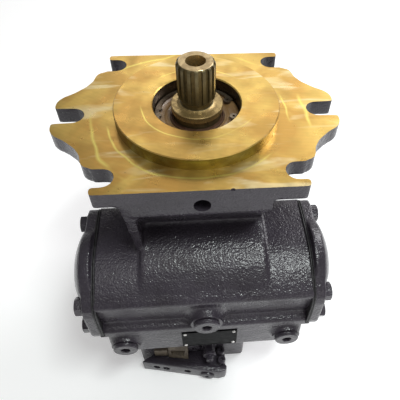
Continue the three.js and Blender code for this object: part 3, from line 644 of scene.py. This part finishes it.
def laid_along(name, route, section, material):
    """A round bead carried along a closed route by a geometry node tree, in millimetres."""
    path = bpy.data.meshes.new(name)
    links = [(i, (i + 1) % len(route)) for i in range(len(route))]
    path.from_pydata([Vector(point) * MM for point in route], links, [])
    piece = bpy.data.objects.new(name, path)
    bpy.context.collection.objects.link(piece)
    tree = bpy.data.node_groups.new(name, "GeometryNodeTree")
    tree.interface.new_socket("Route", in_out="INPUT", socket_type="NodeSocketGeometry")
    thick = tree.interface.new_socket("Thickness", in_out="INPUT", socket_type="NodeSocketFloat")
    finish = tree.interface.new_socket("Finish", in_out="INPUT", socket_type="NodeSocketMaterial")
    tree.interface.new_socket("Bead", in_out="OUTPUT", socket_type="NodeSocketGeometry")
    given = tree.nodes.new("NodeGroupInput")
    curve = node(tree, "GeometryNodeMeshToCurve", Mesh=given.outputs["Route"])
    ring = node(tree, "GeometryNodeCurvePrimitiveCircle", Resolution=10,
                Radius=given.outputs["Thickness"])
    bead = node(tree, "GeometryNodeCurveToMesh", Curve=curve.outputs["Curve"],
                Profile_Curve=ring.outputs["Curve"], Fill_Caps=False)
    whole = node(tree, "GeometryNodeRealizeInstances", Geometry=bead.outputs["Mesh"])
    painted = node(tree, "GeometryNodeSetMaterial", Geometry=whole.outputs["Geometry"],
                   Material=given.outputs["Finish"])
    out = tree.nodes.new("NodeGroupOutput")
    tree.links.new(painted.outputs["Geometry"], out.inputs["Bead"])
    lay = piece.modifiers.new("lay", "NODES")
    lay.node_group = tree
    lay[thick.identifier] = section * MM
    lay[finish.identifier] = material
    settle(piece)
    work = bmesh.new()
    work.from_mesh(piece.data)
    bmesh.ops.remove_doubles(work, verts=work.verts, dist=1e-7)
    bmesh.ops.recalc_face_normals(work, faces=work.faces)
    work.to_mesh(piece.data)
    work.free()
    return dressed(piece, material)


def softened(outline, rounds):
    """An outline with its corners cut smooth."""
    for _ in range(rounds):
        pairs = zip(outline, outline[1:] + outline[:1])
        outline = [point for (a, b), (c, d) in pairs
                   for point in ((0.75 * a + 0.25 * c, 0.75 * b + 0.25 * d),
                                 (0.25 * a + 0.75 * c, 0.25 * b + 0.75 * d))]
    return outline


seam = softened(cover_outline, 2)
GASKET_X = CHAMBER_X + 0.8
JOINT_GAP = 0.3
gasket_body = bar("gasket_body", seam, CHAMBER_X + JOINT_GAP, cover_low.x - JOINT_GAP, "x")
machined(gasket_body, [peg("gasket_hole", 30, 90, 120, "x", (0, stroker.y, stroker.z))])
dressed(gasket_body, SEALANT)
beads = [laid_along(f"bead_{offset}", [(GASKET_X + offset, y, z) for y, z in seam], 1.0, SEALANT)
         for offset in (-0.95, 0.95)]
gasket = dressed(gathered("cover_gasket_right_bead", [gasket_body, *beads]), SEALANT)
other_gasket = mirrored(gasket)
other_gasket.name = "cover_gasket_left_bead"
for piece, word in ((gasket, "right"), (other_gasket, "left")):
    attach(piece, "pump_case")
    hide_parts(f"cover_gasket_{word}")


# ---- Cover bolts ----------------------------------------------------------------------
# Four forged hexagon bolts with washer faces hold each cover, painted over with the pump.
# Each was stopped at its own angle when it was tightened.
def hexagon(across):
    """Corners of a hexagon of a width across flats."""
    corner = across / math.sqrt(3)
    return [(corner * math.cos(math.radians(60 * k)), corner * math.sin(math.radians(60 * k)))
            for k in range(6)]


def hexagon_head(name, across, height, collar, collar_height, shank, shank_length):
    """A forged bolt along +Z, its washer face on the plane z = 0."""
    corner = across / math.sqrt(3)
    head = bar(name, hexagon(across), collar_height - 0.4, height)
    dish = [(0, -1), (corner * 1.3, -1), (corner * 1.3, height - 1.6), (across / 2 - 0.6, height),
            (across / 2 - 2, height - 0.3), (0, height - 0.3)]
    machined(head, [turning("dish", dish, sides=48)], "INTERSECT")
    base = turning("base", [(0, -shank_length), (shank, -shank_length), (shank, 0), (collar, 0),
                            (collar, collar_height - 0.5), (collar - 0.5, collar_height),
                            (0, collar_height)], sides=40)
    return machined(head, [base], "UNION")


def set_out(name, pattern, places, turn_seed, material, body, replaced):
    """Copies of a pattern at places given as (point, direction), by a geometry node tree."""
    spots = bpy.data.meshes.new(name)
    spots.from_pydata([point * MM for point, _ in places], [], [])
    facing = spots.attributes.new("facing", "FLOAT_VECTOR", "POINT")
    for index, (_, direction) in enumerate(places):
        facing.data[index].vector = direction
    piece = bpy.data.objects.new(name, spots)
    bpy.context.collection.objects.link(piece)
    tree = bpy.data.node_groups.new(name, "GeometryNodeTree")
    tree.interface.new_socket("Places", in_out="INPUT", socket_type="NodeSocketGeometry")
    what = tree.interface.new_socket("Pattern", in_out="INPUT", socket_type="NodeSocketObject")
    seed = tree.interface.new_socket("Seed", in_out="INPUT", socket_type="NodeSocketInt")
    finish = tree.interface.new_socket("Finish", in_out="INPUT", socket_type="NodeSocketMaterial")
    tree.interface.new_socket("Copies", in_out="OUTPUT", socket_type="NodeSocketGeometry")
    given = tree.nodes.new("NodeGroupInput")
    chosen = node(tree, "GeometryNodeObjectInfo", Object=given.outputs["Pattern"])
    way = node(tree, "GeometryNodeInputNamedAttribute", {"data_type": "FLOAT_VECTOR"}, Name="facing")
    aimed = node(tree, "FunctionNodeAlignRotationToVector", {"axis": "Z"},
                 Vector=way.outputs["Attribute"])
    copies = node(tree, "GeometryNodeInstanceOnPoints", Points=given.outputs["Places"],
                  Instance=chosen.outputs["Geometry"], Rotation=aimed.outputs["Rotation"])
    angle = node(tree, "FunctionNodeRandomValue", {"data_type": "FLOAT"}, Seed=given.outputs["Seed"])
    angle.inputs[2].default_value = 0.0
    angle.inputs[3].default_value = math.tau
    twist = node(tree, "ShaderNodeCombineXYZ", Z=angle.outputs[1])
    turned = node(tree, "GeometryNodeRotateInstances", Instances=copies.outputs["Instances"],
                  Rotation=twist.outputs["Vector"])
    whole = node(tree, "GeometryNodeRealizeInstances", Geometry=turned.outputs["Instances"])
    painted = node(tree, "GeometryNodeSetMaterial", Geometry=whole.outputs["Geometry"],
                   Material=given.outputs["Finish"])
    out = tree.nodes.new("NodeGroupOutput")
    tree.links.new(painted.outputs["Geometry"], out.inputs["Copies"])
    place = piece.modifiers.new("set_out", "NODES")
    place.node_group = tree
    place[what.identifier] = pattern
    place[seed.identifier] = turn_seed
    place[finish.identifier] = material
    settle(piece)
    dressed(piece, material)
    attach(piece, body)
    if replaced:
        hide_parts(*replaced)
    return piece


seat_x = cover_low.x + RIM_T + JOINT_GAP
bolt = hexagon_head("bolt_pattern", 16, 8, 9.5, 1.6, 4.9, 22)
for side, word in ((-1, "left"), (1, "right")):
    places = [(Vector((side * seat_x, place.y, place.z)), Vector((side, 0, 0)))
              for place in bolt_places]
    set_out(f"cover_bolts_{word}", bolt, places, 4 + side, PAINT, "pump_case",
            [f"cover_bolt_{word}_{number}" for number in (1, 2, 3, 4)])
bpy.data.objects.remove(bolt)

# ---- Port plugs -----------------------------------------------------------------------
# Three steel plugs with flanged heads and hexagon sockets close the boss in the middle and
# the two low bosses. They were screwed in before the pump was sprayed.
plug = turning("port_plug", [(0, 0.8), (8, 0.8), (8, -14), (0, -14)], sides=40)
machined(plug, [turning("plug_head", [(0, 0.3), (12.6, 0.3), (13, 1), (12.6, 3.6), (11.6, 4.5),
                                      (0, 4.5)], sides=56)], "UNION")
machined(plug, [bar("socket", hexagon(9), -3, 6)])
machined(plug, [turning("lead_in", [(0, 3.6), (4.6, 3.6), (5.8, 4.8), (0, 4.8)], sides=40)])
for word in ("left", "middle", "right"):
    low, high = box_of(f"port_plug_{word}")
    spot = Vector(((low.x + high.x) / 2, low.y + PLUG_HEAD, (low.z + high.z) / 2))
    set_out(f"{word}_port_plug", plug, [(spot, Vector((0, -1, 0)))], len(word), PAINT, "pump_case",
            [f"port_plug_{word}"])
bpy.data.objects.remove(plug)


# ---- Drive shaft ----------------------------------------------------------------------
# Hardened steel, ground on the seal collar, with straight spline teeth hobbed into its end
# and run out above a short neck. It carries dark oil in the tooth spaces and brown stain on
# the end face, which has a coned centre hole.
SPLINE_STEEL = oiled_steel("splined_steel", (0.17, 0.135, 0.062), (0.10, 0.078, 0.036), 0.4, 0.04)
END_STEEL = oiled_steel("stained_end_steel", (0.52, 0.39, 0.20), (0.33, 0.23, 0.11), 0.34, 1.0)
COLLAR_STEEL = oiled_steel("ground_collar_steel", (0.45, 0.32, 0.13), (0.28, 0.19, 0.075), 0.26, 1.0)
shaft_low, shaft_high = box_of("drive_shaft")
END = shaft_high.z
TIP_R = 17.3
ROOT_R = 15.4
TEETH = 16
HALF_MOUTH, HALF_ROOT = 7.2, 5.4          # half widths of a tooth space, in degrees
shaft = turning("splined_drive_shaft", [
    (0, shaft_low.z), (13.5, shaft_low.z), (14.5, 86), (14.5, 126), (15, 127), (15, 257),
    (22, 262), (22, 304), (23.4, 305), (24, 305.6), (24, 310.7), (23.4, 311.3), (19, 311.5),
    (16.6, 312), (15.4, 312.8), (14.8, 313), (14.6, 316), (15, 317.8), (16.6, 319.4),
    (TIP_R, 320.4), (TIP_R, END - 3), (TIP_R - 0.6, END - 1.4), (15.2, END - 0.2), (14.9, END),
    (0, END)], sides=96)
cutters = []
for tooth in range(TEETH):
    middle = 360 * (tooth + 0.5) / TEETH
    gap = [*arc((0, 0), ROOT_R, middle - HALF_ROOT, middle + HALF_ROOT, 4),
           *arc((0, 0), TIP_R + 2, middle + HALF_MOUTH, middle - HALF_MOUTH, 2)]
    cutters.append(bar("hob", gap, 314.5, END + 3))
machined(shaft, cutters)
machined(shaft, [turning("centre_hole", [(0, END - 24), (8, END - 22), (8.7, END - 14),
                                         (8.7, END - 0.5), (9.4, END + 1), (0, END + 1)], sides=56)])
COLLAR_LOOK, END_LOOK = 2, 1
for face in shaft.data.polygons:
    on_end = face.normal.z > 0.75 and face.center.z > (END - 0.15) * MM
    on_collar = 304.5 * MM < face.center.z < 312.6 * MM and face.center.xy.length > 14.9 * MM
    in_hole = face.center.z > (END - 25) * MM and face.center.xy.length < 9.5 * MM
    face.material_index = END_LOOK if on_end else COLLAR_LOOK if on_collar or in_hole else 0
dressed(shaft, SPLINE_STEEL, END_STEEL, COLLAR_STEEL, crease=32)
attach(shaft, "rotating_shaft")
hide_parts("drive_shaft")

# ---- Shaft seal, its carrier and the retaining ring ------------------------------------
# A pressed plate with a brown rubber lip closes the bearing seat round the shaft. A spring
# steel ring, sprung into a groove above it, has two eyes for the pliers and two small tabs.
carrier_low, _ = box_of("seal_carrier")
carrier = turning("seal_carrier_plate", [
    (26, carrier_low.z), (39.4, carrier_low.z), (39.7, carrier_low.z + 0.4), (39.7, 297.3),
    (39.3, 297.7), (36, 297.7), (34.4, 296.3), (31, 296), (30, 296.7), (28.6, 296.9), (27.6, 296.2),
    (26, 296)], sides=96)
CARRIER_PAINT = rubber("brown_carrier_paint", (0.20, 0.115, 0.045), 0.36)
dressed(carrier, CARRIER_PAINT)
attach(carrier, "pump_case")
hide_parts("seal_carrier")

BROWN_RUBBER = rubber("brown_seal_rubber", (0.075, 0.036, 0.018), 0.45)
lip = turning("shaft_seal_lip", [
    (22.5, 288), (23.6, 286.4), (25.7, 286.4), (25.7, 297), (25.2, 297.6), (24.4, 297.4),
    (23.8, 296), (23.2, 297.2), (22.6, 298.3), (22.4, 297.6), (22.9, 295)], sides=96)
dressed(lip, BROWN_RUBBER)
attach(lip, "pump_case")
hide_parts("shaft_seal")

ring_low, ring_high = box_of("retaining_ring")
GAP_HALF, GAP_MIDDLE = 17.5, 9.2          # the ring's opening, in degrees
ends = (GAP_MIDDLE + GAP_HALF, GAP_MIDDLE + 360 - GAP_HALF)
ring_outline = [*arc((0, 0), 39.6, *ends, 90), *arc((0, 0), 35.8, *reversed(ends), 90)]
ring = bar("retaining_ring_spring_steel", ring_outline, ring_low.z, ring_high.z)
eyes, holes = [], []
for angle in (ends[0] + 4, ends[1] - 4):
    spot = (34.6 * math.cos(math.radians(angle)), 34.6 * math.sin(math.radians(angle)), 0)
    eyes.append(turning("eye", [(0, ring_low.z), (3.8, ring_low.z), (3.8, ring_high.z),
                                (0, ring_high.z)], "z", spot, 28))
    holes.append(peg("eye_hole", 1.3, 285, 305, "z", spot, 20))
for angle in (168, 184):
    spot = (35.6 * math.cos(math.radians(angle)), 35.6 * math.sin(math.radians(angle)), 0)
    eyes.append(turning("tab", [(0, ring_low.z), (2.2, ring_low.z), (2.2, ring_high.z),
                                (0, ring_high.z)], "z", spot, 24))
machined(ring, eyes, "UNION")
machined(ring, holes)
RING_STEEL = oiled_steel("ring_spring_steel", (0.20, 0.16, 0.11), (0.07, 0.05, 0.035), 0.28, 1.0)
dressed(ring, RING_STEEL)
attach(ring, "pump_case")
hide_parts("retaining_ring")


# ---- Nameplate and rivets --------------------------------------------------------------
# A thin black plate, left blank, riveted to the port block at its corners. Its pressed rim
# catches the light along the top edge.
plate_low, plate_high = box_of("nameplate")


def rounded(low_a, low_b, high_a, high_b, radius):
    """A rectangle with round corners."""
    corners = (((high_a - radius, high_b - radius), 0), ((low_a + radius, high_b - radius), 90),
               ((low_a + radius, low_b + radius), 180), ((high_a - radius, low_b + radius), 270))
    return [point for centre, start in corners
            for point in arc(centre, radius, start, start + 90, 5)]


RIM_WIDTH = 1.3
plate_edge = rounded(plate_low.x, plate_low.z, plate_high.x, plate_high.z, 2.2)
field_edge = rounded(plate_low.x + RIM_WIDTH, plate_low.z + RIM_WIDTH,
                     plate_high.x - RIM_WIDTH, plate_high.z - RIM_WIDTH, 1.4)
plate = bar("blank_nameplate", plate_edge, plate_low.y + 0.25, plate_high.y, "y")
rim = bar("plate_rim", plate_edge, plate_low.y, plate_high.y - 0.2, "y")
machined(rim, [bar("plate_field", field_edge, plate_low.y - 1, 0, "y")])
machined(plate, [rim], "UNION")
PLATE_LACQUER, tree, shader, place = finish_named("black_plate_lacquer")
scuffs = node(tree, "ShaderNodeMapping", Vector=place, Scale=(0.25, 1, 1.6)).outputs["Vector"]
rub = between(tree, mottle(tree, scuffs, 2.2, 4, 0.5), 0.55, 0.8)
tree.links.new(tinted(tree, rub, (0.005, 0.005, 0.0055), (0.018, 0.018, 0.019)),
               shader.inputs["Base Color"])
tree.links.new(between(tree, mottle(tree, place, 6, 3), 0.3, 0.7, 0.45, 0.6), shader.inputs["Roughness"])
shader.inputs["Specular IOR Level"].default_value = 0.08
relief(tree, shader, mottle(tree, place, 1.6, 3), 0.05)
dressed(plate, PLATE_LACQUER)
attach(plate, "pump_case")
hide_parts("nameplate")


def bright_steel(name, colour, rough, turned=False):
    """Clean ground or plated steel with fine marks."""
    finish, tree, shader, place = finish_named(name)
    grain = mottle(tree, place, 0.6, 3)
    cloud = between(tree, mottle(tree, place, 9, 3), 0.3, 0.7)
    tree.links.new(tinted(tree, cloud, colour, tuple(0.72 * part for part in colour)),
                   shader.inputs["Base Color"])
    shader.inputs["Metallic"].default_value = 1.0
    tree.links.new(between(tree, cloud, 0, 1, rough - 0.06, rough + 0.1), shader.inputs["Roughness"])
    if turned:
        rings = node(tree, "ShaderNodeTexWave", {"wave_type": "RINGS", "rings_direction": "Z"},
                     Vector=place, Scale=400.0, Distortion=0.6).outputs["Fac"]
        grain = sums(tree, "ADD", sums(tree, "MULTIPLY", rings, 0.5), grain)
    relief(tree, shader, grain, 0.03)
    return finish


RIVET_STEEL = bright_steel("plated_rivet_steel", (0.72, 0.70, 0.68), 0.3)
rivet = turning("rivet_pattern", [(0, -0.6), (1.9, -0.6), (1.9, 0.1), (1.7, 0.5), (1.2, 0.85),
                                  (0.6, 1.0), (0, 1.05)], sides=28)
RIVET_INSET = 3.6
rivet_places = [(Vector((x, plate_low.y + 0.2, z)), Vector((0, -1, 0)))
                for x in (plate_low.x + RIVET_INSET, plate_high.x - RIVET_INSET)
                for z in (plate_low.z + RIVET_INSET, plate_high.z - RIVET_INSET)]
set_out("nameplate_rivets", rivet, rivet_places, 3, RIVET_STEEL, "pump_case", [])
bpy.data.objects.remove(rivet)

# ---- Control valve ---------------------------------------------------------------------
# A slanting bar on a lower base stands against the rear cover. Three ports and a flanged plug
# sit in its front face, and a hexagon valve points forward over it.
valve_low, valve_high = box_of("control_valve_body")
BASE_TOP = 20


def filed(piece, width):
    """Breaks a piece's sharp edges by a small round."""
    edge = piece.modifiers.new("file", "BEVEL")
    edge.width = width * MM
    edge.segments = 3
    edge.limit_method = "ANGLE"
    return settle(piece)


valve = filed(bar("control_valve_casting", [
    (valve_low.x, -129), (12.6, valve_low.y), (21.3, -146.5), (valve_high.x, -142), (22.5, -139.5),
    (14, -140.5), (-69, -122.7), (-75, -125.4)], 0, valve_high.z), 1.2)
base = filed(bar("valve_base", [(-66, valve_high.y), (-72, -124), (-70, -130), (12, -146.5),
                                (22, -145), (22, valve_high.y)], 0.2, BASE_TOP), 0.8)
machined(valve, [base], "UNION")
VALVE_Z = 12                              # height of the valve's ports and spool
machined(valve, [peg("valve_port", 4.2, -160, depth, "y", (x, 0, VALVE_Z), 32)
                 for x, depth in ((-62.5, -126), (-50.6, -126), (-24.7, -134))])
spool_low, spool_high = box_of("control_spool")
spool_y = (spool_low.y + spool_high.y) / 2
machined(valve, [peg("spool_bore", 5.4, -42.5, 30, "x", (0, spool_y, VALVE_Z), 32)])
dressed(valve, PAINT)
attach(valve, "pump_case")
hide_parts("control_valve_body")

cartridge_low, cartridge_high = box_of("valve_cartridge")
middle = (cartridge_low + cartridge_high) / 2
LENGTH = cartridge_high.y - cartridge_low.y
cartridge = hexagon_head("valve_cartridge_hexagon", 12, 13, 9, 3, 5, 0.2)
machined(cartridge, [turning("cartridge_nose", [
    (0, 11.5), (7.6, 11.5), (8, 12), (8, 14.4), (7.4, 15), (4.5, 15.2), (4.5, LENGTH - 0.8),
    (3.8, LENGTH - 0.1), (1.6, LENGTH - 0.1), (1.2, LENGTH - 3), (0, LENGTH - 3)], sides=40)], "UNION")
cartridge.data.transform(Matrix.Translation(Vector((middle.x, cartridge_high.y, middle.z)) * MM)
                         @ Matrix.Rotation(math.pi / 2, 4, "X"))
dressed(cartridge, PAINT)
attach(cartridge, "pump_case")
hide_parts("valve_cartridge")


screw = turning("cap_screw", [(0, -1), (4.7, -1), (4.7, 8.6), (4.1, 9.3), (0, 9.3)], sides=36)
machined(screw, [bar("key", hexagon(4.5), 4, 12)])
set_out("valve_cap_screws", screw, [(Vector((17.6, -134.6, BASE_TOP + 0.5)), Vector((0, 0, 1))),
                                    (Vector((17.0, -123.6, BASE_TOP + 0.5)), Vector((0, 0, 1)))],
        8, PAINT, "pump_case", [])
bpy.data.objects.remove(screw)

blank = turning("blanking_pattern", [(0, -3), (5, -3), (5, 0), (8.3, 0.2), (8.6, 0.6), (8.3, 1.8),
                                     (6.2, 2.6), (0, 2.6)], sides=40)
machined(blank, [bar("key", hexagon(5), -1, 6)])
set_out("valve_blanking_plugs", blank, [(Vector((-0.5, -145.3, 9)), Vector((-0.2, -0.98, 0))),
                                        (Vector((-16, -118.6, 34)), Vector((0, -1, 0)))],
        5, PAINT, "pump_case", [])
bpy.data.objects.remove(blank)

# ---- Pocketed block over the valve -----------------------------------------------------
# A small sloping block with an open pocket stands between the valve base and the port block.
# It was masked when the pump was sprayed and shows brown primer.
PRIMER, tree, shader, place = finish_named("brown_primer")
worn = between(tree, mottle(tree, place, 6, 4, 0.6), 0.4, 0.7)
tree.links.new(tinted(tree, worn, (0.17, 0.14, 0.10), (0.095, 0.075, 0.056)),
               shader.inputs["Base Color"])
tree.links.new(between(tree, worn, 0, 1, 0.45, 0.65), shader.inputs["Roughness"])
relief(tree, shader, mottle(tree, place, 1.8, 3), 0.35)
FOOT = BASE_TOP + 0.3
HEAD = 40
wall = rear_low.y - 0.3
pocketed = stock("pocketed_block", [
    (-47.5, wall, FOOT), (-23, wall, FOOT), (-23, -128.6, FOOT), (-47.5, -124.5, FOOT),
    (-47.5, wall, HEAD), (-23, wall, HEAD), (-23, -120, HEAD), (-47.5, -119.5, HEAD)],
    BOX_FACES)
filed(pocketed, 0.7)
machined(pocketed, [stock("pocket", [
    (-42.6, wall - 1, 23.5), (-29, wall - 1, 23.5), (-29, -135, 23.5), (-42.6, -135, 23.5),
    (-44.6, wall - 1, 33.5), (-26.8, wall - 1, 33.5), (-26.8, -135, 33.5), (-44.6, -135, 33.5)],
    BOX_FACES)])
ledge = filed(bar("primed_ledge", [(-64, wall), (-64, -122), (-48, -122.5), (-48, wall)], FOOT,
                  HEAD - 3), 0.7)
for piece in (pocketed, ledge):
    dressed(piece, PRIMER)
    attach(piece, "pump_case")

# ---- Pieces inside the pump -------------------------------------------------------------
# Bearings, swashplate, slippers, pistons, barrel and control pieces. They are ground steel
# and bronze, wet with oil, and keep the shapes that fit together.
GROUND_STEEL = bright_steel("ground_steel", (0.55, 0.54, 0.51), 0.26, True)
BRONZE = bright_steel("oiled_bronze", (0.62, 0.42, 0.18), 0.32, True)
finishes = {"steel": GROUND_STEEL, "bronze": BRONZE, "dark_steel": SPLINE_STEEL,
            "brown_rubber": BROWN_RUBBER, "black_rubber": SEALANT, "paint": PAINT,
            "plate_black": PLATE_LACQUER}
for part in frame["record"]["subparts"]:
    inner = frame["nodes"][part["node"]]
    if not inner.hide_render:
        inner.data.materials.clear()
        inner.data.materials.append(finishes[part["material_slot"]])
